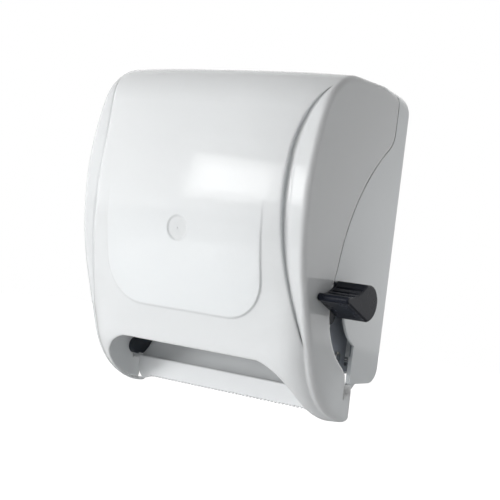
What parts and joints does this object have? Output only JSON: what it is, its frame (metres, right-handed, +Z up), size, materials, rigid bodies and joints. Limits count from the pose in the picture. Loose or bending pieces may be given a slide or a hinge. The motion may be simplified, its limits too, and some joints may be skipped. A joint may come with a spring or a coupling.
{
  "type": "lever paper towel dispenser",
  "caption": "Wall-mounted lever paper towel dispenser with a crowned white cover, side lever, feed knob, tear bar, roll hubs and geared feed rollers.",
  "frame": {"origin": "centre of the four wall screw holes, on the back face", "axes": "+X to the right of someone facing it, +Y into the wall, +Z up"},
  "size_m": [0.3425, 0.207, 0.3756],
  "materials": {
    "shell": "smooth moulded gloss",
    "tear_bar": "smooth moulded gloss",
    "chute": "polished moulded",
    "lever": "satin moulded",
    "knob": "satin moulded",
    "frame": "satin moulded",
    "roll_arm": "satin moulded",
    "gear": "natural moulded acetal",
    "roller": "satin moulded",
    "rubber": "matt rubber",
    "steel": "bright drawn steel",
    "zinc": "zinc plated",
    "spring": "spring steel",
    "lock": "plated"
  },
  "bodies": {
    "chassis": {"back_chassis": "shell", "left_side_frame": "frame", "right_side_frame": "frame", "frame_screws": "zinc", "left_drive_bush": "gear", "right_drive_bush": "gear", "lever_bush": "gear", "lever_stops": "rubber", "arm_pins": "steel", "pinch_pins": "steel", "cover_hinge_pins": "steel", "lock_strike": "zinc", "strike_screws": "zinc", "paper_chute": "chute", "chute_screws": "zinc", "tear_bar": "tear_bar", "tear_bar_screws": "zinc", "pinch_springs": "spring", "left_arm_spring": "spring", "right_arm_spring": "spring", "lever_spring": "spring"},
    "cover": {"front_cover": "shell", "lock_housing": "lock", "lock_nut": "zinc"},
    "lock": {"lock_plug": "lock", "lock_cam": "zinc", "cam_screw": "zinc"},
    "lever": {"lever_handle": "lever", "lever_shaft": "steel", "lever_washer": "zinc", "lever_screw": "zinc", "lever_clip": "zinc", "sector_gear": "gear"},
    "drive_roller": {"drive_shaft": "steel", "roller_core": "roller", "grip_sleeves": "rubber", "drive_pinion": "gear", "one_way_clutch": "steel", "shaft_clip": "zinc", "feed_knob": "knob"},
    "pinch_frame": {"pinch_carrier": "frame"},
    "pinch_roller": {"pinch_shaft": "steel", "pinch_sleeves": "roller"},
    "left_arm": {"left_roll_arm": "roll_arm", "left_hub_screw": "zinc"},
    "right_arm": {"right_roll_arm": "roll_arm", "right_hub_screw": "zinc"},
    "left_hub": {"left_roll_hub": "roll_arm"},
    "right_hub": {"right_roll_hub": "roll_arm"}
  },
  "joints": [
    {"name": "cover_hinge", "type": "hinge", "parent": "chassis", "child": "cover", "pos_m": [0, -0.063, -0.148], "axis": [1, 0, 0], "range_deg": [0, 70]},
    {"name": "lock_turn", "type": "hinge", "parent": "cover", "child": "lock", "pos_m": [0, -0.045, 0.18], "axis": [0, 0, 1], "range_deg": [-90, 0]},
    {"name": "lever_pivot", "type": "hinge", "parent": "chassis", "child": "lever", "pos_m": [0.14, -0.038, -0.047], "axis": [1, 0, 0], "range_deg": [0, 52], "stiffness_Nm_per_rad": 0.3, "springref_deg": -28.65, "deforming": ["lever_spring"]},
    {"name": "drive_spin", "type": "hinge", "parent": "chassis", "child": "drive_roller", "pos_m": [0, -0.06802, -0.11079], "axis": [1, 0, 0], "range_deg": [-360, 0]},
    {"name": "pinch_swing", "type": "hinge", "parent": "chassis", "child": "pinch_frame", "pos_m": [0, -0.028, -0.115], "axis": [-1, 0, 0], "range_deg": [0, 8], "stiffness_Nm_per_rad": 1, "springref_deg": -17.19, "deforming": ["pinch_springs"]},
    {"name": "pinch_spin", "type": "hinge", "parent": "pinch_frame", "child": "pinch_roller", "pos_m": [0, -0.04717, -0.10107], "axis": [1, 0, 0], "range_deg": [0, 600]},
    {"name": "left_arm_swing", "type": "hinge", "parent": "chassis", "child": "left_arm", "pos_m": [-0.121, -0.0175, 0.088], "axis": [0, 0, -1], "range_deg": [0, 12], "stiffness_Nm_per_rad": 0.5, "springref_deg": -17.19, "deforming": ["left_arm_spring"]},
    {"name": "right_arm_swing", "type": "hinge", "parent": "chassis", "child": "right_arm", "pos_m": [0.121, -0.0175, 0.088], "axis": [0, 0, 1], "range_deg": [0, 12], "stiffness_Nm_per_rad": 0.5, "springref_deg": -17.19, "deforming": ["right_arm_spring"]},
    {"name": "left_hub_spin", "type": "hinge", "parent": "left_arm", "child": "left_hub", "pos_m": [-0.1, -0.1, 0.088], "axis": [1, 0, 0], "continuous": true},
    {"name": "right_hub_spin", "type": "hinge", "parent": "right_arm", "child": "right_hub", "pos_m": [0.1, -0.1, 0.088], "axis": [1, 0, 0], "continuous": true}
  ],
  "couplings": [
    {"joint": "drive_spin", "follows": "lever_pivot", "ratio": -6.8333},
    {"joint": "pinch_spin", "follows": "lever_pivot", "ratio": 11.255}
  ]
}
